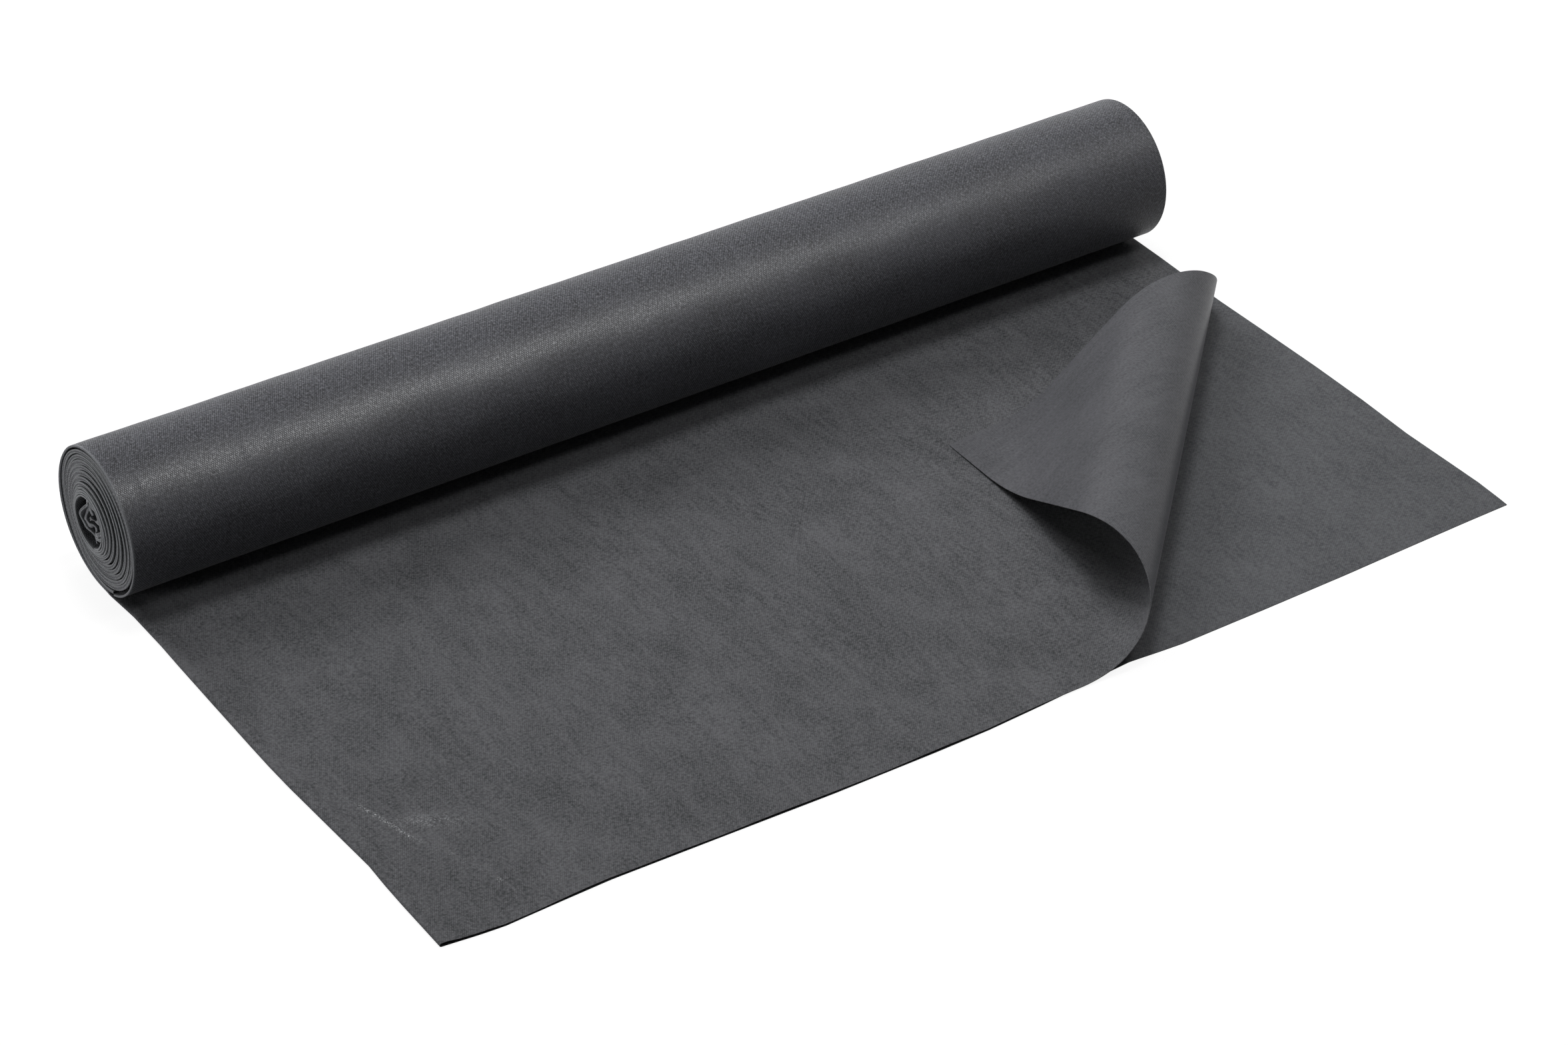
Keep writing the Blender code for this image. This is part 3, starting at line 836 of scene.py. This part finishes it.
def make_outer_turn(materials):
    angles = np.concatenate(([0.0], np.linspace(0, 2 * math.pi * OUTER_TURN_SHARE, OUTER_STATIONS)))
    hang = HANG * np.sin(math.pi * np.clip(angles / HANG_ANGLE, 0, 1)) ** 2
    radius = ROLL_RADIUS - STACK_HALF + hang
    y = NIP_Y + radius * np.sin(angles)
    z = ROLL_RADIUS - radius * np.cos(angles)
    y[0] = NIP_Y - NIP_RUN
    centre = np.column_stack((y, z))
    outward = outward_of(centre, np.array((NIP_Y, ROLL_RADIUS)))
    outward[:2] = (0, -1)
    bulge = OUTER_BULGE + 0.35 * hang
    thing, length = wound_web("outer_turn", centre, outward, LEFT + OUTER_FOLD_IN, RIGHT, HALF_GAP, bulge,
                              FACE_SHARES)
    pucker_the_roll(thing)
    give_thickness(thing, materials)
    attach(thing, "roll_carriage")
    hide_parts("outer_turn_lower_layer", "outer_turn_upper_layer", "outer_turn_folded_edge")
    return thing, length


TURN_STATIONS = 60
TURN_STEPS = (4.4, 4.2, 4.5, 4.2, 4.4, 4.2, 3.6, 2.2, 1.9, 1.8, 1.8)         # in mm, from the outside in
TURNS_IN = (0, 1, 2, 3, 4, 5, 6, 7, 8, 9, 11)
FOLD_STAGGER = (0.4, 1.3, 0.7, 1.5, 0.8, 1.2, 0.4, -0.6, -1.5, -2.2, -2.6)   # in mm, at those turns
TUBE_BACK = 8.5 * MM                 # the tight tube in the middle lies off the roll's centre
TUBE_DOWN = 5.5 * MM
WOBBLE = 0.16 * MM                   # of the turns about their spiral
UNEVEN_STAGGER = 0.4 * MM
RIGHT_IN = 1.0 * MM                  # from the right end of the roll to the outermost free edges
BULGE_LIMITS = (0.35 * MM, 1.9 * MM)
FIRST_BULGE = 0.9 * MM               # the first turn's fold stays clear of the outer turn as it spins


def random_waves(chance, turns, count, pace):
    """Waves of random size and phase along the winding, the slowest at this pace in waves a turn."""
    total = np.zeros(len(turns))
    for wave in range(1, count + 1):
        size = chance.uniform(-1, 1)
        total += size * np.sin(wave * turns * 2 * math.pi * pace + chance.uniform(0, 6))
    return total


def make_winding(materials):
    """Loose turns that wander a little, wound round a tight tube, with their folds staggered in x."""
    count = TURN_STATIONS * len(TURN_STEPS) + 1
    turns = np.arange(count) / TURN_STATIONS
    knots = np.concatenate(([0], np.cumsum(TURN_STEPS))) * MM
    depth = np.interp(turns, np.arange(len(knots)), knots)
    slack = fade(turns, 0.6, 7.5)
    angles = 2 * math.pi * (OUTER_TURN_SHARE + turns)
    chance = np.random.default_rng(5)
    wobble = random_waves(chance, turns, 5, 0.83) * WOBBLE * fade(turns, 0.4, 1.6)
    radius = WOUND_RADIUS - STACK_HALF - depth - np.abs(wobble)
    inside = np.column_stack((NIP_Y + TUBE_BACK * slack, ROLL_RADIUS - TUBE_DOWN * slack))
    centre = inside + radius[:, None] * np.column_stack((np.sin(angles), -np.cos(angles)))
    outward = outward_of(centre, inside)

    # How far the neighbouring turns round each station lie apart.
    pitch = np.linalg.norm(centre[TURN_STATIONS:] - centre[:-TURN_STATIONS], axis=1)
    half_turn = TURN_STATIONS // 2
    pitch = np.concatenate((pitch[:half_turn], pitch, np.full(half_turn, pitch[-1])))
    stagger = np.interp(turns, TURNS_IN, FOLD_STAGGER) * MM
    stagger += UNEVEN_STAGGER * random_waves(chance, turns, 3, 0.61)
    right = RIGHT - np.abs(stagger) * 0.8 - RIGHT_IN
    half_gap = np.minimum(HALF_GAP, pitch * 0.22)
    squeeze = 0.44 + 0.035 * np.sin(turns * 2 * math.pi * 1.37)
    squeeze += 0.025 * np.sin(turns * 2 * math.pi * 3.1 + 2)
    bulge = np.minimum(np.clip(pitch * squeeze - CLOTH / 2, *BULGE_LIMITS), FIRST_BULGE + depth)
    thing, length = wound_web("winding", centre, outward, LEFT + stagger, right, half_gap, bulge)
    give_thickness(thing, materials, WOUND_CLOTH)
    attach(thing, "winding")
    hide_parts("wound_lower_layer", "wound_upper_layer", "wound_folded_edge")
    return thing, length


START_STATIONS = 241
START_TURNS = 2.0


def make_start(materials):
    """The first turns of the web, creased into the middle: a lobed turn along the tube's wall, then
    deep folds across the hollow."""
    turns = START_TURNS * np.linspace(0, 1, START_STATIONS)
    angles = 2 * math.pi * (OUTER_TURN_SHARE + turns)
    inner = fade(turns, 0.8, 1.3)

    # The radius in mm, along the wall and across the hollow.
    wall = 18.4 - 3.2 * (1 - np.cos(4 * angles + 0.9 * np.sin(angles))) / 2
    heart = 12.5 - 9.0 * (1 - np.cos(2 * angles + 2.4)) / 2 - 1.5 * np.sin(5 * angles)
    radius = (wall * (1 - inner) + heart * inner) * MM
    middle = np.column_stack((NIP_Y + TUBE_BACK + 2.5 * MM * inner,
                              ROLL_RADIUS - TUBE_DOWN - 3.0 * MM * inner))
    centre = middle + radius[:, None] * np.column_stack((np.sin(angles), -np.cos(angles)))
    outward = outward_of(centre, middle)
    left = LEFT + (1.0 + 1.5 * inner + 2.0 * np.sin(3 * angles + 1) + 0.8 * np.sin(7 * angles)) * MM
    right = RIGHT - (9 + 3 * np.sin(7 * angles)) * MM
    bulge = (1.0 + 0.7 * inner) * MM
    thing, length = wound_web("creased_middle", centre, outward, left, right, 0.4 * MM, bulge)
    give_thickness(thing, materials, START_CLOTH)
    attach(thing, "winding")
    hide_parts("crumpled_start")
    return thing, length


place_camera()
add_surround()
for softbox in SOFTBOXES:
    add_softbox(*softbox)
add_floor()

laid_face = fabric("spunbond_laid_face", "#38393b", "#636366", "#717275", "Object", dots=0.6, ribs=0.25,
                   gloss=0.3, grain=0.8, specks=0.4, crease="#d4d6d8", flecked=True)
laid_back = fabric("spunbond_laid_underside", "#46474a", "#626366", "#6e6f72", "Object", dots=0.5, ribs=0.6,
                   gloss=0.2)
# The cut rim is painted near black: painted shade for the shadowed gap along the laid web's front edge.
rim_painted_shade = fabric("spunbond_rim_painted_shade", "#17181a", "#242527", "#2c2d30", "Object", dots=0.3, gloss=0.0)
corner_face = fabric("spunbond_corner_face", "#38393b", "#636366", "#717275", "UV", dots=0.6, ribs=0.25,
                     gloss=0.3, grain=0.8, specks=0.4)
# A little darker than the laid underside, though it is the same side of the cloth: painted shade on the
# rolled-back flap.
corner_underside_painted_darker = fabric("spunbond_corner_underside_painted_darker", "#434447", "#5f5f63", "#636367", "UV", ribs=0.8, dots=0.5,
                     gloss=0.3, grain=0.35, specks=0.2, smoother=0.2)
# Darker than the laid face, though it is the same side of the cloth: painted shade on the roll. Its crease
# colour is a painted highlight on the fold rims.
roll_outside_painted_darker = fabric("spunbond_roll_painted_darker", "#18181b", "#43444a", "#7a7b80", "UV", gloss=1.0, grain=1.2,
                   specks=0.6, smoother=-0.03, crease="#818387")
roll_back = fabric("spunbond_roll_underside", "#303135", "#444649", "#606266", "UV")
# Paler than the roll's face, though it is the same cloth: painted light on the roll's left end. Its crease
# colour is a painted highlight on the fold rims.
wound_cloth_painted_paler = fabric("spunbond_wound_end_painted_paler", "#424346", "#616266", "#9b9ca0", "UV", crease="#b4b6b9")
# Much paler than the rest of the cloth: painted light in the hollow. Its crease colour is a painted highlight
# on the fold rims.
start_cloth_painted_paler = fabric("spunbond_creased_start_painted_paler", "#747579", "#95969a", "#c4c5c9", "UV", crease="#a4a6a9")

laid_web = make_laid_web([laid_face, laid_back, rim_painted_shade])
corner = make_corner([corner_face, corner_underside_painted_darker])
outer_turn, outer_length = make_outer_turn([roll_outside_painted_darker, roll_back])
winding, wound_length = make_winding([wound_cloth_painted_paler, roll_back])
start, start_length = make_start([start_cloth_painted_paler, start_cloth_painted_paler])

bpy.context.scene.view_settings.view_transform = "Standard"
